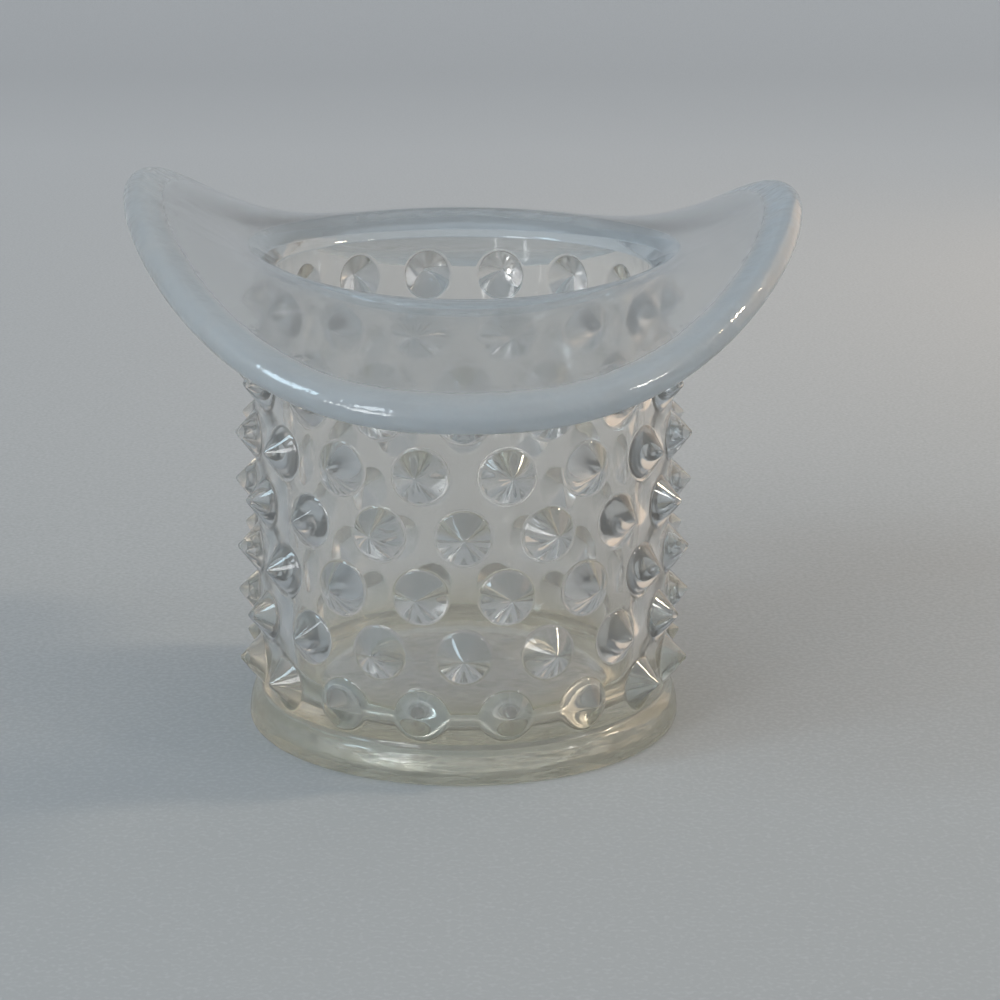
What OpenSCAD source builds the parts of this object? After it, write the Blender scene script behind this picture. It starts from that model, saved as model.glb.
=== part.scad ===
// Pressed hobnail glass hat: a thick round foot, a straight crown set with rows of pointed hobs,
// and a saddle-shaped brim with its two sides turned up and a thick rounded lip.
// The origin is the centre of the foot's resting face, +Z runs up the crown and -Y is the front.

/* [Crown] */
// outer diameter of the crown wall, without the hobs
crown_d = 54.8; // [48:0.2:60]
// height of the crown wall from the foot to the neck
crown_h = 55.6; // [52:0.2:60]
// thickness of the crown wall where it meets the neck
wall_t = 3; // [2.4:0.1:4]
// how much narrower the inside is at the bottom than at the neck, on each side
inside_draft = 1.2; // [0.4:0.1:2]
// radius of the cove between the floor and the inside of the wall
cove_r = 6; // [1.5:0.5:8]

/* [Foot] */
// how far the smooth foot band stands out from the crown wall
foot_flare = 1.6; // [0.8:0.1:3]
// height of the smooth foot band, with the turn into the wall
foot_h = 5; // [4:0.1:7]
// rounding of the band's lower edge
foot_edge_r = 0.5; // [0.3:0.1:1.4]
// height of the hollow turn from the wall to the band
shoulder_h = 0.85; // [0.5:0.05:1.2]
// how far the floor lies below the foot of the wall
floor_dip = 0.4; // [0.2:0.1:1]
// width of the flat ring that the foot rests on, round a shallow hollow
rest_w = 5.5; // [3:0.1:8]
// depth of the hollow under the foot
hollow_h = 0.8; // [0.4:0.1:1.2]

/* [Hobs] */
// hobs in one row round the crown
hob_count = 16; // [12:1:18]
// rows of hobs, each half a step round from the row below
hob_rows = 7; // [5:1:7]
// diameter of a hob where it leaves the wall
hob_d = 7; // [5:0.1:8]
// height of a hob above the wall
hob_h = 2.9; // [2:0.1:4]
// rounding of a hob's point
hob_tip_r = 0.45; // [0.25:0.05:0.8]
// plain wall left below the first row
row_margin = 0.3; // [0.2:0.05:1.5]
// plain wall left above the last row
top_margin = 2.1; // [0.2:0.1:3]

/* [Brim] */
// overall width across the two turned-up sides
brim_w = 86.4; // [80:0.2:98]
// overall length from the front edge to the back edge
brim_l = 109.6; // [98:0.2:120]
// thickness of the brim between the neck and the lip
brim_t = 2.8; // [2.2:0.1:3.4]
// how far the lip's centre lies below the neck at the front and back
brim_dip = 7.4; // [2:0.1:9]
// how far the lip's centre stands above the neck at the left side
left_rise = 10.7; // [6:0.1:16]
// how far the lip's centre stands above the neck at the right side
right_rise = 9.1; // [6:0.1:16]
// how closely the rise is gathered at the sides
turn_power = 2.75; // [2:0.05:3.2]
// slope of the lip at the back, below level
droop_angle = 38; // [20:1:50]
// slope of the lip at the front, below level
front_droop = 15; // [10:1:50]
// slope of the lip at the sides, above level
upturn_angle = 30; // [0:1:45]
// how tall the turn from the wall to the brim is drawn at the back
neck_pull = 3.9; // [2:0.1:7]
// how tall the same turn is drawn at the front
front_pull = 0.8; // [0.4:0.1:7]
// how tall the same turn is drawn at the two sides
side_pull = 1.1; // [0.4:0.1:7]
// how far the inside of the wall runs on above the neck, up to the edge of the mouth
mouth_h = 0.4; // [0.2:0.1:2.4]
// thickness of the rounded lip
lip_t = 3.6; // [3:0.1:4.4]
// share of the brim's sweep that belongs to the neck
neck_share = 0.36; // [0.3:0.01:0.45]
// share of the brim's sweep that belongs to the lip
lip_share = 0.1; // [0.06:0.01:0.16]

/* [Hidden] */
$fn = 96;
crown_r = crown_d / 2;
mouth_r = crown_r - wall_t;
floor_wall_r = mouth_r - inside_draft;
foot_r = crown_r + foot_flare;
foot_edge_x = foot_r - foot_edge_r;
floor_z = foot_h - floor_dip;
cove_x = floor_wall_r - cove_r;
cove_z = floor_z + cove_r;
hollow_r = foot_edge_x - rest_w;
neck_z = foot_h + crown_h;
hob_r = hob_d / 2;
first_row_z = foot_h + row_margin + hob_r;
row_pitch = (crown_h - row_margin - top_margin - hob_d) / (hob_rows - 1);
hob_step = 360 / hob_count;
hob_skirt = hob_r;

// the foot's side: a hollow turn out of the wall, then a full curve down to the rounded lower edge
turn_x = crown_r + 0.375 * foot_flare;
turn_z = foot_h - shoulder_h;
wall_end = [crown_r, foot_h];
turn_in = [crown_r, foot_h - 0.66 * shoulder_h];
turn_mid = [turn_x, turn_z];
turn_out = [crown_r + 0.875 * foot_flare, foot_h - 1.5 * shoulder_h];
band_end = [foot_r, foot_edge_r + 0.4];
turn_steps = 6;

// the straight side of a hob runs from its base to touch the rounded point
tip_c = hob_h - hob_tip_r;
tip_turn = acos(hob_tip_r / sqrt(hob_r * hob_r + tip_c * tip_c)) - atan2(tip_c, hob_r);
tip_touch = [hob_tip_r * cos(tip_turn), tip_c + hob_tip_r * sin(tip_turn)];

// the brim's middle surface, drawn from the wall's middle radius out to the lip's centre line
mid_r = crown_r - wall_t / 2;
bead_r = lip_t / 2;
bead_a = brim_w / 2 - bead_r;
bead_b = brim_l / 2 - bead_r;
reach_share = 0.55;
around = 72;
neck_steps = 6;
web_steps = 6;
lip_steps = 2;
cap_steps = 6;
diff_angle = 0.05;

function unit(v) = v / norm(v);
function mix(a, b, k) = a + (b - a) * k;
function ease(k) = let (c = max(0, min(1, k))) c * c * (3 - 2 * c);
function bend(a, b, c, k) = (1 - k) * (1 - k) * a + 2 * k * (1 - k) * b + k * k * c;
function lift(t) = pow(abs(sin(t)), turn_power);
function facing(t) = pow(max(0, cos(t)), 2);
function side_rise(t) = sin(t) < 0 ? left_rise : right_rise;
function ring_point(r, z, t) = [r * sin(t), -r * cos(t), z];
function bead_point(t) =
    [bead_a * sin(t), -bead_b * cos(t), neck_z + mix(-brim_dip, side_rise(t), lift(t))];

// the four points that steer the brim's sweep at angle t, counted from the front towards +X
function steer(t) =
    let (p0 = ring_point(mid_r, neck_z, t))
    let (p3 = bead_point(t))
    let (flat = [p3.x - p0.x, p3.y - p0.y])
    let (out = unit(flat))
    let (droop = mix(droop_angle, front_droop, facing(t)))
    let (slope = mix(-droop, upturn_angle, lift(t)))
    let (pull = mix(mix(neck_pull, front_pull, facing(t)), side_pull, lift(t)))
    let (reach = reach_share * norm(flat))
    let (back = reach * [out.x * cos(slope), out.y * cos(slope), sin(slope)])
    [p0, p0 + [0, 0, pull], p3 - back, p3];

function sweep(s, t) =
    let (p = steer(t))
    let (q = 1 - s)
    q * q * q * p[0] + 3 * q * q * s * p[1] + 3 * q * s * s * p[2] + s * s * s * p[3];
function along(s, t) =
    let (p = steer(t))
    let (q = 1 - s)
    q * q * (p[1] - p[0]) + 2 * q * s * (p[2] - p[1]) + s * s * (p[3] - p[2]);
function across(s, t) = sweep(s, t + diff_angle) - sweep(s, t - diff_angle);
function upward(s, t) = unit(cross(along(s, t), across(s, t)));

// half the glass thickness along the sweep: the web's where it leaves the neck, then the lip's
function half_t(s) = mix(brim_t, lip_t, ease((s - neck_share) / (1 - neck_share))) / 2;
function skin(s, t, side) = sweep(s, t) + side * half_t(s) * upward(s, t);

// one side of the neck, from a point a of the wall at k = 0 to the brim at k = 1, in line with it there
function neck_side(a, t, side, k) =
    let (c = skin(neck_share, t, side))
    let (b = c - norm(c - a) / 2 * unit(along(neck_share, t)))
    bend(a, b, c, k);

// closed loops round the sections of the sweep, from the underside to the top
function neck_section(t) =
    let (wall = ring_point(crown_r, neck_z, t))
    let (mouth = ring_point(mouth_r, neck_z + mouth_h, t))
    [
        for (i = [0 : neck_steps]) neck_side(wall, t, -1, i / neck_steps),
        for (i = [neck_steps : -1 : 0]) neck_side(mouth, t, 1, i / neck_steps),
        ring_point(mouth_r, neck_z, t)
    ];
function web_section(t) = [
    for (i = [0 : web_steps]) skin(mix(neck_share, 1 - lip_share, i / web_steps), t, -1),
    for (i = [web_steps : -1 : 0]) skin(mix(neck_share, 1 - lip_share, i / web_steps), t, 1)
];
function lip_section(t) =
    let (n = upward(1, t))
    let (f = unit(along(1, t)))
    let (c = sweep(1, t))
    [
        for (i = [0 : lip_steps]) skin(mix(1 - lip_share, 1, i / lip_steps), t, -1),
        for (i = [1 : cap_steps - 1])
            let (a = 180 * i / cap_steps)
            c + bead_r * (f * sin(a) - n * cos(a)),
        for (i = [lip_steps : -1 : 0]) skin(mix(1 - lip_share, 1, i / lip_steps), t, 1)
    ];

// a ring skinned over closed sections: the last strip takes the other diagonal, so that two rings
// that share a section have the same facets there
module ring(sections) {
    rings = len(sections);
    loop = len(sections[0]);
    points = [for (s = sections) for (p = s) p];
    faces = [
        for (i = [0 : rings - 1])
            for (j = [0 : loop - 1])
                let (k = (i + 1) % rings)
                let (a = i * loop + j)
                let (b = k * loop + j)
                let (c = k * loop + (j + 1) % loop)
                let (d = i * loop + (j + 1) % loop)
                each (j == loop - 1 ? [[a, d, b], [b, d, c]] : [[a, c, b], [a, d, c]])
    ];
    polyhedron(points, faces);
}

module foot() {
    color("Wheat")
        rotate_extrude()
            difference() {
                union() {
                    polygon([
                        [0, hollow_h], [hollow_r - hollow_h, hollow_h], [hollow_r, 0],
                        [foot_edge_x, 0], [foot_r, foot_edge_r],
                        for (i = [0 : turn_steps]) bend(band_end, turn_out, turn_mid, i / turn_steps),
                        for (i = [1 : turn_steps]) bend(turn_mid, turn_in, wall_end, i / turn_steps),
                        [cove_x, foot_h], [cove_x, floor_z], [0, floor_z]
                    ]);
                    translate([foot_edge_x, foot_edge_r])
                        circle(foot_edge_r);
                }
                translate([cove_x, cove_z])
                    circle(cove_r);
            }
}

module crown_wall() {
    color("LightCyan")
        rotate_extrude()
            difference() {
                polygon([
                    [cove_x, foot_h], [crown_r, foot_h], [crown_r, neck_z], [mouth_r, neck_z],
                    [floor_wall_r, cove_z], [cove_x, cove_z]
                ]);
                translate([cove_x, cove_z])
                    circle(cove_r);
            }
}

// one hob along +X: a pointed cone on a short skirt that reaches into the wall's round
module hob() {
    rotate([0, 90, 0])
        rotate_extrude()
            union() {
                polygon([[0, -hob_skirt], [hob_r, -hob_skirt], [hob_r, 0], tip_touch, [0, tip_c]]);
                intersection() {
                    translate([0, tip_c])
                        circle(hob_tip_r);
                    square(hob_h);
                }
            }
}

module hob_row(row) {
    z = first_row_z + (row - 1) * row_pitch;
    shift = row % 2 == 1 ? 0.5 : 0;
    color("AliceBlue")
        for (i = [0 : hob_count - 1])
            rotate([0, 0, (i + shift) * hob_step - 90])
                difference() {
                    translate([crown_r, 0, z])
                        hob();
                    translate([0, 0, z - hob_d])
                        cylinder(r = crown_r, h = 2 * hob_d);
                }
}

module neck() {
    color("LightSteelBlue")
        ring([for (i = [0 : around - 1]) neck_section(i * 360 / around)]);
}

module brim() {
    color("Azure")
        ring([for (i = [0 : around - 1]) web_section(i * 360 / around)]);
}

module brim_lip() {
    color("Lavender")
        ring([for (i = [0 : around - 1]) lip_section(i * 360 / around)]);
}

foot();
crown_wall();
for (row = [1 : hob_rows])
    hob_row(row);
neck();
brim();
brim_lip();
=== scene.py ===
"""Pressed hobnail glass hat on a pale sweep, in five glass pieces that meet face to face."""
import math

import bpy
import numpy as np
from mathutils import Matrix, Vector


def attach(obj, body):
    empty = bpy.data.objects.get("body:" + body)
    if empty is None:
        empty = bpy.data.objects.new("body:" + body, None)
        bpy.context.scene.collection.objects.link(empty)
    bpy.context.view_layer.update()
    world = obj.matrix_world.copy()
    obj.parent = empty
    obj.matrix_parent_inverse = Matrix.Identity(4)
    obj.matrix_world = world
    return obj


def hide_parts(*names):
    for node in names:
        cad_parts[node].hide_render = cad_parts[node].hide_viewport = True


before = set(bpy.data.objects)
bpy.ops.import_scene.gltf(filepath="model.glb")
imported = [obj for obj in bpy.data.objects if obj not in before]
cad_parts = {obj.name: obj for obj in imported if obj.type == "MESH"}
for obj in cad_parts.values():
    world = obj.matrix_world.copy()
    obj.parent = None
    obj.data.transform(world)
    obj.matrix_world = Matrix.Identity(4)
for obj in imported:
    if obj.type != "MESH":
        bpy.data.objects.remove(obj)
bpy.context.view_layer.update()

# Sizes in millimetres, as in the part's source
CROWN_R, CROWN_H = 27.4, 55.6
WALL_T, INSIDE_DRAFT, COVE_R = 3.0, 1.2, 6.0
FOOT_R, FOOT_H, FOOT_EDGE_R = 29.0, 5.0, 0.5
FLOOR_DIP, REST_W, HOLLOW_H = 0.4, 5.5, 0.8
HOB_COUNT, HOB_ROWS, HOB_R, HOB_H, HOB_TIP_R = 16, 7, 3.5, 2.9, 0.45
ROW_PITCH, ROW_MARGIN = 7.7, 0.3
BRIM_W, BRIM_L, BRIM_T, BRIM_DIP = 86.4, 109.6, 2.8, 7.4
LEFT_RISE, RIGHT_RISE, TURN_POWER = 10.7, 9.1, 2.75
DROOP, FRONT_DROOP, UPTURN = math.radians(38), math.radians(15), math.radians(30)
NECK_PULL, FRONT_PULL, SIDE_PULL, MOUTH_H = 3.9, 0.8, 1.1, 0.4
LIP_T, NECK_SHARE, LIP_SHARE, REACH = 3.6, 0.36, 0.1, 0.55

# Sizes that follow from these
MOUTH_R = CROWN_R - WALL_T
FLOOR_WALL_R = MOUTH_R - INSIDE_DRAFT
FOOT_EDGE_X = FOOT_R - FOOT_EDGE_R
FLOOR_Z = FOOT_H - FLOOR_DIP
COVE_X, COVE_Z = FLOOR_WALL_R - COVE_R, FLOOR_Z + COVE_R
HOLLOW_R = FOOT_EDGE_X - REST_W
FIRST_ROW_Z = FOOT_H + ROW_MARGIN + HOB_R
NECK_Z = FOOT_H + CROWN_H
MID_R = CROWN_R - WALL_T / 2
BEAD_R = LIP_T / 2
BEAD_A, BEAD_B = BRIM_W / 2 - BEAD_R, BRIM_L / 2 - BEAD_R

# Rings of the foot's underside, and the points that steer its side up to the wall
UNDERSIDE_R = (4, 9, 14, 18, 20.5, HOLLOW_R - 1.6)
HOLLOW_SIDE_R, HOLLOW_SIDE_W, HOLLOW_SIDE_STEPS = HOLLOW_R - 1.4, 1.8, 8
REST_R = (HOLLOW_R + 1.6, FOOT_EDGE_X - 0.6)
BAND_END, BAND_TURN = (FOOT_R, FOOT_EDGE_R + 0.4), (28.8, 3.725)
SHOULDER, SHOULDER_TURN = (28.0, 4.15), (CROWN_R + 0.02, 4.44)
WALL_END = (CROWN_R, FOOT_H)
EDGE_STEPS, BAND_STEPS, SHOULDER_STEPS = 9, 10, 8

# Hobs: a fillet round the foot, the point lifted above the middle, and heights that vary a little
HOB_FILLET, HOB_LIFT = 0.28, 0.45
HOB_MEAN, HOB_VARY, VARY_BY_ROW, VARY_BY_HOB = 0.985, 0.015, 5.1, 2.3
HOB_RINGS = (3.78, 3.62, 3.46, 3.3, 3.18, 2.5, 1.8, 1.1, 0.6, 0.3, 0.2, 0.1)

# The mouth's edge is rounded over this share of the neck's upper side and this drop
MOUTH_EDGE_SHARE, MOUTH_EDGE_DROP = 0.14, 0.3

# How milky the glass is, and where that fades: in radius on a hob, along the sweep, and from the lip.
# On the hobs this share is partly real haze and partly a painted dark blue-grey shade
HOB_MILK_AND_SHADE, WEB_MILK, NECK_MILK = 0.36, 0.08, 0.32
HOB_FADE = (HOB_R + 0.1, HOB_R - 0.4)
NECK_FADE, WEB_FADE, LIP_FADE = (0.5, 0.25), (0.0, 0.2), (3.4, 1.2)

# Mesh steps: each hob's cell has 14 steps across and 10 up, so 48 round the hob
CELL_X, CELL_Z = 14, 10
CELL_ROUND = 2 * (CELL_X + CELL_Z)
CELL_W = 2 * math.pi * CROWN_R / HOB_COUNT
CELL_TURN = -142.5
CELL_BORDER = (0.34, 0.67)
AROUND = HOB_COUNT * CELL_X
TURN = np.arange(AROUND) * 2 * np.pi / AROUND
UNDER_STEPS, OVER_STEPS, MOUTH_STEPS = 12, 14, 5
WEB_STEPS, LIP_STEPS, BEAD_STEPS = 18, 5, 18
INSIDE_STEPS, COVE_STEPS, FLOOR_COVE_STEPS = 20, 10, 7
FLOOR_R = (17, 13, 9, 5, 2)


def smooth(a, b, x):
    """A soft step from 0 at a to 1 at b."""
    k = np.clip((x - a) / (b - a), 0.0, 1.0)
    return k * k * (3 - 2 * k)


# The fused glass skin: every zone shares its end rings with the next
ZONES = ("foot", "crown", "neck", "brim", "lip")
points, normals_known, opal = [], {}, []
faces = {zone: [] for zone in ZONES}
caps = {zone: [] for zone in ZONES}


def add_points(xyz, milk=0.0):
    start = len(points)
    points.extend(map(tuple, xyz))
    opal.extend(np.broadcast_to(milk, (len(xyz),)).tolist())
    return list(range(start, start + len(xyz)))


def ring_at(r, z):
    return np.stack([r * np.sin(TURN), -r * np.cos(TURN), np.full(AROUND, z)], 1)


def turned_ring(r, z, milk=0.0):
    return add_points(ring_at(r, z), milk)


def skin(lower, upper, where):
    """Quads from one ring to the next, facing out when the ring sequence runs up the outside."""
    n = len(lower)
    for i in range(n):
        k = (i + 1) % n
        where.append((lower[i], lower[k], upper[k], upper[i]))


def skin_all(rings, where):
    for lower, upper in zip(rings, rings[1:]):
        skin(lower, upper, where)


def fan(ring, pole, where):
    """Triangles that close a ring with one point."""
    for i in range(len(ring)):
        where.append((ring[i], ring[(i + 1) % len(ring)], pole))


def arc(cx, cz, r, a0, a1, steps):
    for i in range(steps + 1):
        a = math.radians(a0 + (a1 - a0) * i / steps)
        yield cx + r * math.cos(a), cz + r * math.sin(a)


def bent(a, b, c, k):
    """The point at share k of a bend from a to c that b steers."""
    return (1 - k) ** 2 * a + 2 * k * (1 - k) * b + k * k * c


def bend(a, b, c, steps):
    corners = [np.array(p) for p in (a, b, c)]
    for i in range(steps + 1):
        yield bent(*corners, i / steps)


# Foot, from the middle of the underside out and up to the seat of the wall
def foot_profile():
    yield from ((r, HOLLOW_H) for r in UNDERSIDE_R)
    for i in range(HOLLOW_SIDE_STEPS + 1):
        k = i / HOLLOW_SIDE_STEPS
        yield HOLLOW_SIDE_R + HOLLOW_SIDE_W * k, HOLLOW_H * (1 - smooth(0, 1, k))
    yield from ((r, 0) for r in REST_R)
    yield from arc(FOOT_EDGE_X, FOOT_EDGE_R, FOOT_EDGE_R, -90, 0, EDGE_STEPS)
    yield from bend(BAND_END, BAND_TURN, SHOULDER, BAND_STEPS)
    yield from list(bend(SHOULDER, SHOULDER_TURN, WALL_END, SHOULDER_STEPS))[1:]


foot_rings = [turned_ring(r, z) for r, z in foot_profile()]
foot_pole = add_points([(0, 0, HOLLOW_H)])[0]
fan(foot_rings[0][::-1], foot_pole, faces["foot"])
skin_all(foot_rings, faces["foot"])
seat_out = foot_rings[-1]


# Crown outside: one cell to each hob, laid like bricks
def hob_rise(r, height):
    """Height of a hob over the wall, and its slope, at distance r from its point."""
    scale = height / HOB_H
    tip_c = HOB_H - HOB_TIP_R
    turn = math.acos(HOB_TIP_R / math.hypot(HOB_R, tip_c)) - math.atan2(tip_c, HOB_R)
    touch_r, touch_h = HOB_TIP_R * math.cos(turn), tip_c + HOB_TIP_R * math.sin(turn)
    pitch = touch_h / (HOB_R - touch_r)
    if r < touch_r:
        drop = math.sqrt(HOB_TIP_R**2 - r * r)
        return scale * (tip_c + drop), -scale * r / drop
    if r < HOB_R - HOB_FILLET:
        return scale * pitch * (HOB_R - r), -scale * pitch
    if r < HOB_R + HOB_FILLET:
        left = HOB_R + HOB_FILLET - r
        slope = -scale * pitch * left / (2 * HOB_FILLET)
        return scale * pitch * left * left / (4 * HOB_FILLET), slope
    return 0.0, 0.0


def stand_out(ring):
    """Normals straight out from the crown's axis, for a ring on the plain wall."""
    for i, t in zip(ring, TURN):
        normals_known[i] = (math.sin(t), -math.cos(t), 0.0)


def wall_point(across, z, rise=0.0, slope_a=0.0, slope_z=0.0, milk=0.0):
    """A point over the wall, given by its way round, with its normal from the slopes there."""
    t = across / CROWN_R
    out = np.array([math.sin(t), -math.cos(t), 0.0])
    side = np.array([math.cos(t), math.sin(t), 0.0])
    at = (CROWN_R + rise) * out + np.array([0.0, 0.0, z])
    n = out - slope_a * CROWN_R / (CROWN_R + rise) * side - np.array([0.0, 0.0, slope_z])
    index = add_points([at], milk)[0]
    normals_known[index] = tuple(n / np.linalg.norm(n))
    return index


def hob_cell(mid_a, mid_z, loop, loop_at, height):
    """Fills one cell: loop is its border's points and loop_at where they lie on the flat wall."""
    angles = [math.radians(CELL_TURN + 360 / CELL_ROUND * i) for i in range(CELL_ROUND)]
    outer = loop
    widest = HOB_RINGS[0]
    for share in CELL_BORDER:
        ring = []
        for (a, z), turn in zip(loop_at, angles):
            ca, cz = widest * math.cos(turn), widest * math.sin(turn)
            at_a, at_z = a + (ca - a) * share, z + (cz - z) * share
            ring.append(wall_point(mid_a + at_a, mid_z + at_z))
        skin(outer, ring, faces["crown"])
        outer = ring
    for r in HOB_RINGS:
        rise, slope = hob_rise(r, height)
        raised = HOB_LIFT * max(0.0, 1 - r / HOB_R)
        # Painted shade: this share fills the hob with the crown's dark blue-grey, strongest at the
        # point, beside a little real haze
        milk = HOB_MILK_AND_SHADE * smooth(*HOB_FADE, r)
        ring = []
        for turn in angles:
            lean = slope / (1 - HOB_LIFT / HOB_R * math.sin(turn)) if r < HOB_R else slope
            at_a, at_z = mid_a + r * math.cos(turn), mid_z + r * math.sin(turn) + raised
            slopes = lean * math.cos(turn), lean * math.sin(turn)
            ring.append(wall_point(at_a, at_z, rise, *slopes, milk))
        skin(outer, ring, faces["crown"])
        outer = ring
    tip = wall_point(mid_a, mid_z + HOB_LIFT, hob_rise(0.0, height)[0], milk=HOB_MILK_AND_SHADE)
    fan(outer, tip, faces["crown"])


def hob_row(row, low):
    """One row of cells on the ring low. Gives back the ring above it."""
    mid_z = FIRST_ROW_Z + row * ROW_PITCH
    z0 = FOOT_H if row == 0 else mid_z - ROW_PITCH / 2
    z1 = NECK_Z if row == HOB_ROWS - 1 else mid_z + ROW_PITCH / 2
    high = turned_ring(CROWN_R, z1)
    stand_out(high)
    first = 0 if row % 2 == 0 else CELL_X // 2
    up = [z0 + (z1 - z0) * j / CELL_Z for j in range(1, CELL_Z)]
    columns = []
    for c in range(HOB_COUNT):
        a = (first + c * CELL_X) * CELL_W / CELL_X
        columns.append([wall_point(a, z) for z in up])
    flat_a = [CELL_W * (j / CELL_X - 0.5) for j in range(CELL_X + 1)]
    flat_z = [z - mid_z for z in up]
    loop_at = (
        [(a, z0 - mid_z) for a in flat_a]
        + [(CELL_W / 2, z) for z in flat_z]
        + [(a, z1 - mid_z) for a in reversed(flat_a)]
        + [(-CELL_W / 2, z) for z in reversed(flat_z)]
    )
    for c in range(HOB_COUNT):
        start = first + c * CELL_X
        at = [(start + j) % AROUND for j in range(CELL_X + 1)]
        left, right = columns[c], columns[(c + 1) % HOB_COUNT]
        loop = [low[j] for j in at] + right + [high[j] for j in reversed(at)] + left[::-1]
        vary = math.sin(VARY_BY_ROW * row + VARY_BY_HOB * c)
        mid_a = (c + 0.5) * CELL_W + first * CELL_W / CELL_X
        hob_cell(mid_a, mid_z, loop, loop_at, HOB_H * (HOB_MEAN + HOB_VARY * vary))
    return high


stand_out(seat_out)
neck_out = seat_out
for row in range(HOB_ROWS):
    neck_out = hob_row(row, neck_out)


# Brim: the saddle-shaped sweep from the neck out to the lip
def steer(t):
    """The four points that steer the sweep at the angles t."""
    lift = np.abs(np.sin(t)) ** TURN_POWER
    rise = np.where(np.sin(t) < 0, LEFT_RISE, RIGHT_RISE)
    p0 = np.stack([MID_R * np.sin(t), -MID_R * np.cos(t), np.full_like(t, NECK_Z)], 1)
    edge_z = NECK_Z - BRIM_DIP + (rise + BRIM_DIP) * lift
    p3 = np.stack([BEAD_A * np.sin(t), -BEAD_B * np.cos(t), edge_z], 1)
    flat = (p3 - p0)[:, :2]
    span = np.linalg.norm(flat, axis=1)
    out = flat / span[:, None]
    facing = np.maximum(0.0, np.cos(t)) ** 2
    droop = DROOP + (FRONT_DROOP - DROOP) * facing
    slope = -droop + (UPTURN + droop) * lift
    reach = REACH * span
    level = reach * np.cos(slope)
    back = np.stack([level * out[:, 0], level * out[:, 1], reach * np.sin(slope)], 1)
    p1 = p0.copy()
    pull = NECK_PULL + (FRONT_PULL - NECK_PULL) * facing
    p1[:, 2] += pull + (SIDE_PULL - pull) * lift
    return p0, p1, p3 - back, p3


def sweep(s, t):
    p0, p1, p2, p3 = steer(t)
    q = 1 - s
    return q**3 * p0 + 3 * q * q * s * p1 + 3 * q * s * s * p2 + s**3 * p3


def along(s, t):
    p0, p1, p2, p3 = steer(t)
    q = 1 - s
    way = q * q * (p1 - p0) + 2 * q * s * (p2 - p1) + s * s * (p3 - p2)
    return way / np.linalg.norm(way, axis=1)[:, None]


def upward(s, t):
    step = math.radians(0.05)
    n = np.cross(along(s, t), sweep(s, t + step) - sweep(s, t - step))
    return n / np.linalg.norm(n, axis=1)[:, None]


def half_t(s):
    return (BRIM_T + (LIP_T - BRIM_T) * smooth(NECK_SHARE, 1, s)) / 2


def brim_side(s, side):
    return sweep(s, TURN) + side * half_t(s) * upward(s, TURN)


def neck_side(start, side):
    """The three points that steer one side of the neck, in line with the brim where they meet."""
    end = brim_side(NECK_SHARE, side)
    half_way = np.linalg.norm(end - start, axis=1)[:, None] / 2
    return start, end - half_way * along(NECK_SHARE, TURN), end


def milk_at(s):
    """How milky the glass is along the sweep: some at the neck, a little on, fully within the lip."""
    to_edge = np.linalg.norm(sweep(1.0, TURN) - sweep(s, TURN), axis=1)
    mouth = NECK_MILK * smooth(*NECK_FADE, s)
    return mouth + WEB_MILK * smooth(*WEB_FADE, s) + (1 - WEB_MILK) * smooth(*LIP_FADE, to_edge)


def brim_ring(s, side):
    return add_points(brim_side(s, side), milk_at(s))


web_end = 1 - LIP_SHARE
web_s = [NECK_SHARE + (web_end - NECK_SHARE) * i / WEB_STEPS for i in range(WEB_STEPS + 1)]
lip_s = [web_end + LIP_SHARE * i / LIP_STEPS for i in range(LIP_STEPS + 1)]

# The brim's rings, from the wall along the underside, round the lip and back to the mouth
steer_under = neck_side(ring_at(CROWN_R, NECK_Z), -1)
under_neck = [neck_out]
for i in range(1, UNDER_STEPS + 1):
    k = i / UNDER_STEPS
    under_neck.append(add_points(bent(*steer_under, k), milk_at(NECK_SHARE * k)))
under_web = [under_neck[-1]] + [brim_ring(s, -1) for s in web_s[1:]]
under_lip = [under_web[-1]] + [brim_ring(s, -1) for s in lip_s[1:]]
bead_mid, bead_up, bead_out = sweep(1.0, TURN), upward(1.0, TURN), along(1.0, TURN)
bead = []
for i in range(1, BEAD_STEPS):
    a = math.pi * i / BEAD_STEPS
    round_off = bead_out * math.sin(a) - bead_up * math.cos(a)
    bead.append(add_points(bead_mid + BEAD_R * round_off, 1.0))
over_lip = [brim_ring(s, 1) for s in reversed(lip_s)]
over_web = [over_lip[-1]] + [brim_ring(s, 1) for s in reversed(web_s[:-1])]
mouth_edge = ring_at(MOUTH_R, NECK_Z + MOUTH_H)
steer_over = neck_side(mouth_edge, 1)
over_neck = [over_web[-1]]
for i in range(1, OVER_STEPS + 1):
    k = 1 - (1 - MOUTH_EDGE_SHARE) * i / OVER_STEPS
    over_neck.append(add_points(bent(*steer_over, k), milk_at(NECK_SHARE * k)))
edge_from = bent(*steer_over, MOUTH_EDGE_SHARE)
edge_to = mouth_edge - np.array([0, 0, MOUTH_EDGE_DROP])
for i in range(1, MOUTH_STEPS + 1):
    rounded = bent(edge_from, mouth_edge, edge_to, i / MOUTH_STEPS)
    over_neck.append(add_points(rounded, NECK_MILK))
over_neck.append(turned_ring(MOUTH_R, NECK_Z, NECK_MILK))
neck_in = over_neck[-1]
skin_all(under_neck, faces["neck"])
skin_all(over_neck, faces["neck"])
skin_all(under_web, faces["brim"])
skin_all(over_web, faces["brim"])
skin_all(under_lip + bead + over_lip, faces["lip"])

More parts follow.
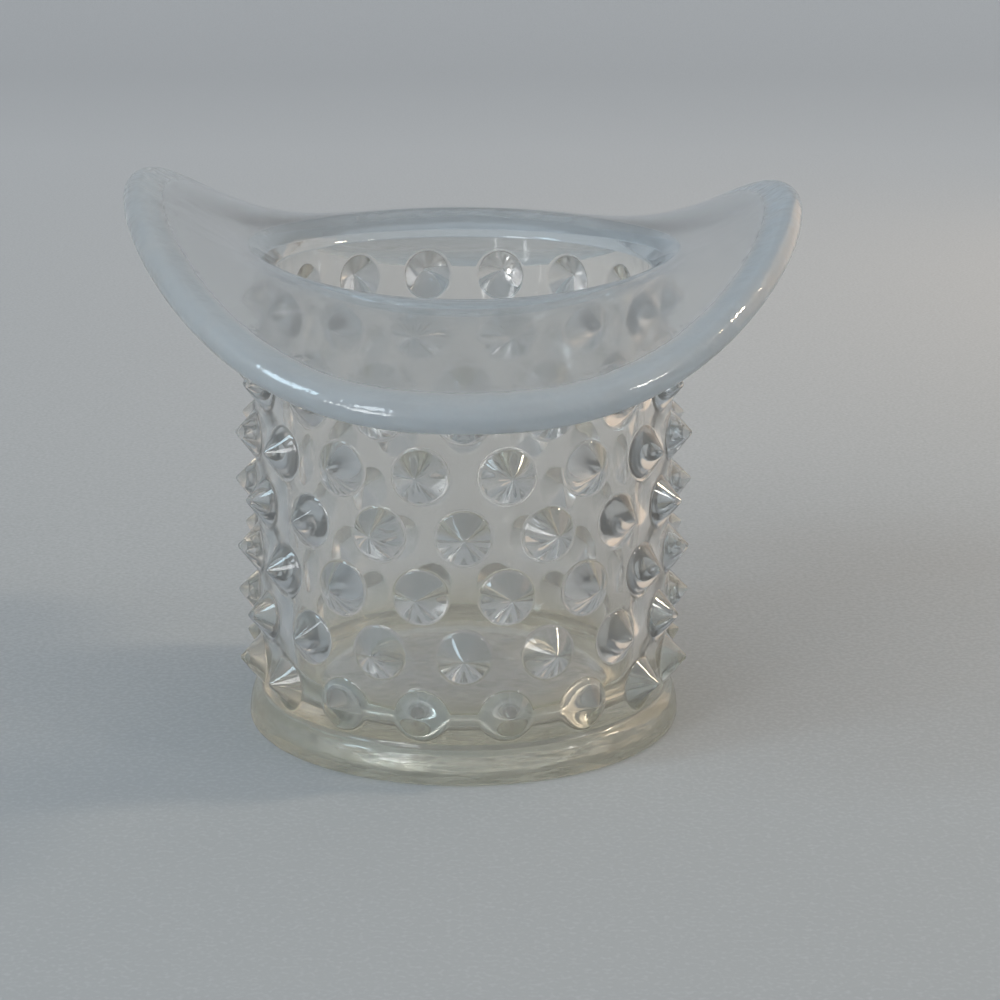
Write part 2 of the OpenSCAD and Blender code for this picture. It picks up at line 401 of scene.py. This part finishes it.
# Inside of the crown: the drafted wall, the cove and the floor
inside = [neck_in]
for i in range(1, INSIDE_STEPS + 1):
    z = NECK_Z + (COVE_Z - NECK_Z) * i / INSIDE_STEPS
    inside.append(turned_ring(FLOOR_WALL_R + INSIDE_DRAFT * (z - COVE_Z) / (NECK_Z - COVE_Z), z))
seat_turn = math.degrees(math.asin((FOOT_H - COVE_Z) / COVE_R))
cove = list(arc(COVE_X, COVE_Z, COVE_R, 0, seat_turn, COVE_STEPS))
inside += [turned_ring(r, z) for r, z in cove[1:]]
seat_in = inside[-1]
skin_all(inside, faces["crown"])
floor_cove = list(arc(COVE_X, COVE_Z, COVE_R, seat_turn, -90, FLOOR_COVE_STEPS))
floor_rings = [seat_in] + [turned_ring(r, z) for r, z in floor_cove[1:]]
floor_rings += [turned_ring(r, FLOOR_Z) for r in FLOOR_R]
skin_all(floor_rings, faces["foot"])
floor_pole = add_points([(0, 0, FLOOR_Z)])[0]
fan(floor_rings[-1], floor_pole, faces["foot"])

# The faces where two pieces meet, each piece with its own
skin(seat_out, seat_in, caps["foot"])
skin(seat_in, seat_out, caps["crown"])
skin(neck_out, neck_in, caps["crown"])
skin(neck_in, neck_out, caps["neck"])
skin(under_neck[-1], over_neck[0], caps["neck"])
skin(over_neck[0], under_neck[-1], caps["brim"])
skin(under_web[-1], over_web[0], caps["brim"])
skin(over_web[0], under_web[-1], caps["lip"])

# From here on in metres
points = np.array(points) * 0.001
opal = np.array(opal)


# Smooth normals over the whole skin, so that no border between pieces shows
def skin_normals():
    total = np.zeros_like(points)
    for zone in faces.values():
        for size in (3, 4):
            f = np.array([x for x in zone if len(x) == size])
            if not len(f):
                continue
            corner = [points[f[:, i]] for i in range(size)]
            for i in range(size):
                a = corner[(i + 1) % size] - corner[i]
                b = corner[i - 1] - corner[i]
                n = np.cross(a, b)
                length = np.linalg.norm(n, axis=1)
                weight = np.arctan2(length, (a * b).sum(1)) / np.maximum(length, 1e-18)
                np.add.at(total, f[:, i], n * weight[:, None])
    total /= np.linalg.norm(total, axis=1)[:, None]
    for i, n in normals_known.items():
        total[i] = n
    return total


normals = skin_normals()


# Materials
def new_material(name):
    mat = bpy.data.materials.new(name)
    mat.use_nodes = True
    mat.node_tree.nodes.clear()
    return mat, mat.node_tree


def add_node(tree, kind, **values):
    node = tree.nodes.new("ShaderNode" + kind)
    for key, value in values.items():
        setattr(node, key, value)
    return node


def object_axes(tree, coordinates="Object"):
    """The X, Y and Z of a point, in the object's own coordinates unless others are named."""
    where = add_node(tree, "TexCoord")
    split = add_node(tree, "SeparateXYZ")
    tree.links.new(where.outputs[coordinates], split.inputs["Vector"])
    return split.outputs


def noise(tree, scale, detail, stretch=(1, 1, 1)):
    """Noise over the object's own coordinates, in cells of 1/scale metres."""
    where = add_node(tree, "TexCoord")
    fit = add_node(tree, "Mapping")
    fit.inputs["Scale"].default_value = stretch
    tex = add_node(tree, "TexNoise")
    tex.inputs["Scale"].default_value = scale
    tex.inputs["Detail"].default_value = detail
    tree.links.new(where.outputs["Object"], fit.inputs["Vector"])
    tree.links.new(fit.outputs["Vector"], tex.inputs["Vector"])
    return tex.outputs["Fac"]


def remap(tree, value, low_in, high_in, low_out, high_out):
    node = add_node(tree, "MapRange")
    ends = {"From Min": low_in, "From Max": high_in, "To Min": low_out, "To Max": high_out}
    for key, x in ends.items():
        node.inputs[key].default_value = x
    tree.links.new(value, node.inputs["Value"])
    return node.outputs["Result"]


def set_or_link(tree, socket, value):
    if isinstance(value, bpy.types.NodeSocket):
        tree.links.new(value, socket)
    else:
        socket.default_value = value


def mix_colour(tree, share, a, b):
    """Colour a where share is 0 and b where it is 1. Each is a colour or another node's output."""
    node = add_node(tree, "Mix", data_type="RGBA")
    tree.links.new(share, node.inputs["Factor"])
    for socket, colour in ((node.inputs[6], a), (node.inputs[7], b)):
        set_or_link(tree, socket, (*colour, 1) if isinstance(colour, tuple) else colour)
    return node.outputs[2]


def math_node(tree, operation, a, b):
    node = add_node(tree, "Math", operation=operation)
    for socket, value in zip(node.inputs, (a, b)):
        set_or_link(tree, socket, value)
    return node.outputs["Value"]


GLASS_IOR, COAT_ROUGH, BUMP_DISTANCE, WEAR_ROUGH = 1.5, 0.04, 0.001, 0.05
CLOUD_SCALE, WEAR_SCALE, WAVE_SCALE, STREAK_SCALE = 220.0, 900.0, 160.0, 300.0


def glass(name, clear, milk, bump_depth, rough, lamps, haze, streak=(1, 1, 1), warm=None,
          pass_milky=0.45, rough_milky=0.0, coat=0.0):
    """Pressed glass: clear where opal is 0, milky where it is 1, with drawn streaks in the surface.

    lamps is the share of lamp light that passes on to what lies in the glass's shadow, and haze the
    share that clear glass holds back. warm is a tint, the axis that it follows (Z, or R from the
    crown's axis), and where on it the tint begins and is full.
    """
    mat, tree = new_material(name)
    links = tree.links
    out = add_node(tree, "OutputMaterial")
    bsdf = add_node(tree, "BsdfPrincipled")
    bsdf.inputs["IOR"].default_value = GLASS_IOR
    bsdf.inputs["Coat Weight"].default_value = coat
    bsdf.inputs["Coat Roughness"].default_value = COAT_ROUGH

    path = add_node(tree, "LightPath")
    lamp_pass = add_node(tree, "BsdfTransparent")
    lamp_pass.inputs["Color"].default_value = (lamps, lamps, lamps, 1)
    either = add_node(tree, "MixShader")
    links.new(path.outputs["Is Shadow Ray"], either.inputs[0])
    links.new(bsdf.outputs["BSDF"], either.inputs[1])
    links.new(lamp_pass.outputs["BSDF"], either.inputs[2])
    links.new(either.outputs["Shader"], out.inputs["Surface"])

    milky = add_node(tree, "Attribute", attribute_name="opal").outputs["Fac"]
    cloud = noise(tree, CLOUD_SCALE, 3.0)
    share = math_node(tree, "MULTIPLY", milky, remap(tree, cloud, 0.3, 0.7, 0.8, 1.1))
    base = clear
    if warm:
        tint, axis, begins, full = warm
        axes = object_axes(tree)
        if axis == "Z":
            reach = axes["Z"]
        else:
            square = [math_node(tree, "MULTIPLY", axes[a], axes[a]) for a in "XY"]
            reach = math_node(tree, "SQRT", math_node(tree, "ADD", *square), 0.0)
        base = mix_colour(tree, remap(tree, reach, begins, full, 0.0, 1.0), clear, tint)
    links.new(mix_colour(tree, share, base, milk), bsdf.inputs["Base Color"])
    through_glass = remap(tree, share, 0, 1, 1 - haze, pass_milky)
    links.new(through_glass, bsdf.inputs["Transmission Weight"])

    wear = noise(tree, WEAR_SCALE, 4.0)
    worn = remap(tree, wear, 0.35, 0.75, rough, rough + WEAR_ROUGH)
    scatter = remap(tree, share, 0, 1, 0, rough_milky)
    links.new(math_node(tree, "ADD", worn, scatter), bsdf.inputs["Roughness"])
    wave = noise(tree, WAVE_SCALE, 2.0)
    drawn = noise(tree, STREAK_SCALE, 3.0, streak)
    bump = add_node(tree, "Bump")
    bump.inputs["Strength"].default_value = bump_depth
    bump.inputs["Distance"].default_value = BUMP_DISTANCE
    links.new(math_node(tree, "ADD", wave, drawn), bump.inputs["Height"])
    links.new(bump.outputs["Normal"], bsdf.inputs["Normal"])
    links.new(bump.outputs["Normal"], bsdf.inputs["Coat Normal"])
    return mat


# Painted shade: the crown's milky colour below is a dark blue-grey that fills the hobs in place of
# the shade seen through them, beside a little real haze
MILK, OPAL, HOB_SHADE_GREY = (0.48, 0.54, 0.59), (0.685, 0.775, 0.845), (0.22, 0.32, 0.39)
BRIM_CLEAR = (0.86, 0.865, 0.86)
OPAL_GLASS = dict(rough=0.03, lamps=0.4, haze=0.05, pass_milky=0.8, rough_milky=0.55, coat=1.0)

clear_glass = glass(
    "clear_glass", (0.92, 0.91, 0.89), HOB_SHADE_GREY, bump_depth=0.015, rough=0.02, lamps=0.35, haze=0.06,
    streak=(1, 1, 0.6), warm=((0.84, 0.785, 0.6), "Z", 0.0125, 0.005), pass_milky=0.8,
)
foot_glass = glass(
    "foot_glass", (0.94, 0.94, 0.92), MILK, bump_depth=0.4, rough=0.16, lamps=0.8, haze=0.12,
    streak=(0.3, 0.3, 1.6), warm=((0.63, 0.63, 0.535), "R", 0.022, 0.0275),
)
neck_glass = glass(
    "neck_glass", (0.64, 0.705, 0.75), MILK, bump_depth=0.06, rough=0.03, lamps=0.4, haze=0.11
)
brim_glass = glass("brim_glass", BRIM_CLEAR, OPAL, bump_depth=0.015, **OPAL_GLASS)
lip_glass = glass("lip_glass", BRIM_CLEAR, OPAL, bump_depth=0.22, **OPAL_GLASS)

# Inside one glass there is no surface to see, so the faces between pieces let everything pass
inside_glass, inside_tree = new_material("inside_glass")
inside_out = add_node(inside_tree, "OutputMaterial")
inside_pass = add_node(inside_tree, "BsdfTransparent")
inside_tree.links.new(inside_pass.outputs["BSDF"], inside_out.inputs["Surface"])


# Pieces
def make_piece(name, zone, material, nodes_replaced):
    every = faces[zone] + caps[zone]
    seen = len(faces[zone])
    used = sorted({i for f in every for i in f})
    place = {old: new for new, old in enumerate(used)}
    mesh = bpy.data.meshes.new(name)
    mesh.from_pydata(points[used].tolist(), [], [tuple(place[i] for i in f) for f in every])
    mesh.materials.append(material)
    mesh.materials.append(inside_glass)
    mesh.polygons.foreach_set("material_index", [0] * seen + [1] * len(caps[zone]))
    mesh.attributes.new("opal", "FLOAT", "POINT").data.foreach_set("value", opal[used])
    mesh.polygons.foreach_set("use_smooth", [True] * len(every))
    mesh.update()
    corner_normals = []
    for p in mesh.polygons:
        if p.index < seen:
            corner_normals += [tuple(normals[used[v]]) for v in p.vertices]
        else:
            corner_normals += [tuple(p.normal)] * p.loop_total
    mesh.normals_split_custom_set(corner_normals)
    piece = bpy.data.objects.new(name, mesh)
    bpy.context.collection.objects.link(piece)
    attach(piece, "root")
    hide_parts(*nodes_replaced)


hob_nodes = [f"hob_row_{row + 1}" for row in range(HOB_ROWS)]
make_piece("hat_foot", "foot", foot_glass, ["foot"])
make_piece("hat_crown", "crown", clear_glass, ["crown_wall", *hob_nodes])
make_piece("hat_neck", "neck", neck_glass, ["neck"])
make_piece("hat_brim", "brim", brim_glass, ["brim"])
make_piece("hat_lip", "lip", lip_glass, ["brim_lip"])

# Stage: a pale paper sweep, floor and back in one sheet, laid just under the foot, in metres
PAPER_GAP, PAPER_HALF_W, PAPER_COLUMNS = 0.0001, 6.0, 8
PAPER_FLAT_Y = (-6.0, -0.8, 0.0, 0.9)
PAPER_BEND_R, PAPER_BEND_STEPS, PAPER_TOP = 0.7, 12, 2.2
# The far colour is painted light: the sweep is painted paler towards the back, where the light falls
# brighter
PAPER_NEAR, PAPER_FAR_PAINTED_LIGHT = (0.347, 0.364, 0.376), (0.552, 0.57, 0.592)
PAPER_PAINTED_LIGHT_FADE, GRAIN_SCALE, GRAIN_SHARE = (-0.05, 0.6), 1500.0, 0.22


def make_sweep():
    profile = [(y, 0.0) for y in PAPER_FLAT_Y]
    bend_y = PAPER_FLAT_Y[-1]
    for i in range(1, PAPER_BEND_STEPS + 1):
        a = math.radians(90 * i / PAPER_BEND_STEPS)
        profile.append((bend_y + PAPER_BEND_R * math.sin(a), PAPER_BEND_R * (1 - math.cos(a))))
    profile.append((bend_y + PAPER_BEND_R, PAPER_TOP))
    xs = [PAPER_HALF_W * (2 * i / PAPER_COLUMNS - 1) for i in range(PAPER_COLUMNS + 1)]
    verts = [(x, y, z - PAPER_GAP) for y, z in profile for x in xs]
    sheet = []
    for j in range(len(profile) - 1):
        for i in range(PAPER_COLUMNS):
            a = j * len(xs) + i
            sheet.append((a, a + 1, a + len(xs) + 1, a + len(xs)))
    mesh = bpy.data.meshes.new("sweep")
    mesh.from_pydata(verts, [], sheet)
    mesh.polygons.foreach_set("use_smooth", [True] * len(sheet))
    mesh.update()
    stage = bpy.data.objects.new("sweep", mesh)
    bpy.context.collection.objects.link(stage)

    mat, tree = new_material("sweep_paper")
    out = add_node(tree, "OutputMaterial")
    bsdf = add_node(tree, "BsdfPrincipled")
    grain = noise(tree, GRAIN_SCALE, 3.0)
    # Painted light: the paper grows paler from front to back; the grain laid on top is the paper's
    # own
    depth = remap(tree, object_axes(tree)["Y"], *PAPER_PAINTED_LIGHT_FADE, 0.0, 0.95)
    speck = remap(tree, grain, 0.25, 0.75, -GRAIN_SHARE, GRAIN_SHARE)
    painted_light_and_grain = math_node(tree, "ADD", depth, speck)
    tree.links.new(mix_colour(tree, painted_light_and_grain, PAPER_NEAR, PAPER_FAR_PAINTED_LIGHT), bsdf.inputs["Base Color"])
    tree.links.new(remap(tree, grain, 0, 1, 0.8, 0.95), bsdf.inputs["Roughness"])
    tree.links.new(bsdf.outputs["BSDF"], out.inputs["Surface"])
    mesh.materials.append(mat)


make_sweep()


# Light: cool soft boxes at the left, warm ones at the right, and a low warm glow behind on the right
def soft_box(name, at, to, size, power, colour, spread=180):
    lamp = bpy.data.lights.new(name, "AREA")
    lamp.shape = "ELLIPSE"
    lamp.size, lamp.size_y = size
    lamp.energy = power
    lamp.color = colour
    lamp.spread = math.radians(spread)
    obj = bpy.data.objects.new(name, lamp)
    bpy.context.collection.objects.link(obj)
    obj.location = at
    obj.rotation_euler = (Vector(to) - Vector(at)).to_track_quat("-Z", "Y").to_euler()


CROWN_MID, RIM_MID, FLOOR_RIGHT = (0, 0, 0.03), (0, 0, 0.06), (0.06, 0.05, 0)
soft_box("left_box", (-0.85, -0.45, 0.7), CROWN_MID, (0.24, 0.6), 4.0, (0.66, 0.87, 1.0))
soft_box("front_left_box", (-0.55, -0.8, 0.75), CROWN_MID, (0.2, 0.4), 1.6, (0.86, 0.94, 1.0))
soft_box("right_box", (0.95, 0.1, 0.7), CROWN_MID, (0.14, 0.14), 3.8, (1.0, 0.83, 0.62))
soft_box("front_right_box", (0.92, -0.41, 0.56), CROWN_MID, (0.12, 0.12), 0.9, (1.0, 0.96, 0.9))
soft_box("low_box", (-0.5, -0.71, 0.2), RIM_MID, (0.3, 0.3), 0.1, (0.98, 0.99, 1.0), spread=40)
soft_box("right_glow", (0.34, 0.22, 0.16), FLOOR_RIGHT, (0.45, 0.45), 0.36, (1.0, 0.7, 0.44))

# The room is brighter in front of the hat than behind it
ROOM_COLOUR, ROOM_FRONT, ROOM_BEHIND = (0.93, 0.955, 0.98, 1), 0.75, 0.3


def make_room():
    world = bpy.data.worlds.new("room")
    world.use_nodes = True
    tree = world.node_tree
    sky = tree.nodes["Background"]
    sky.inputs["Color"].default_value = ROOM_COLOUR
    strength = remap(tree, object_axes(tree, "Generated")["Y"], -1, 1, ROOM_FRONT, ROOM_BEHIND)
    tree.links.new(strength, sky.inputs["Strength"])
    bpy.context.scene.world = world


make_room()

# Camera at the photo's place: a little above the brim, looking down
CAMERA_AT, LENS_MM, SENSOR_MM = (0, -0.308816, 0.11471), 86.4, 36.0
YAW, PITCH, ROLL = math.radians(0.895), math.radians(15.466), math.radians(0.239)


def make_camera():
    level = math.cos(PITCH)
    ahead = Vector((math.sin(YAW) * level, math.cos(YAW) * level, -math.sin(PITCH)))
    right = ahead.cross(Vector((0, 0, 1))).normalized()
    up = right.cross(ahead)
    turned_right = right * math.cos(ROLL) + up * math.sin(ROLL)
    turned_up = up * math.cos(ROLL) - right * math.sin(ROLL)
    data = bpy.data.cameras.new("camera")
    data.lens, data.sensor_width = LENS_MM, SENSOR_MM
    camera = bpy.data.objects.new("camera", data)
    bpy.context.collection.objects.link(camera)
    turn = Matrix((turned_right, turned_up, -ahead)).transposed().to_4x4()
    camera.matrix_world = Matrix.Translation(CAMERA_AT) @ turn
    bpy.context.scene.camera = camera


make_camera()
bpy.context.scene.view_settings.view_transform = "Standard"
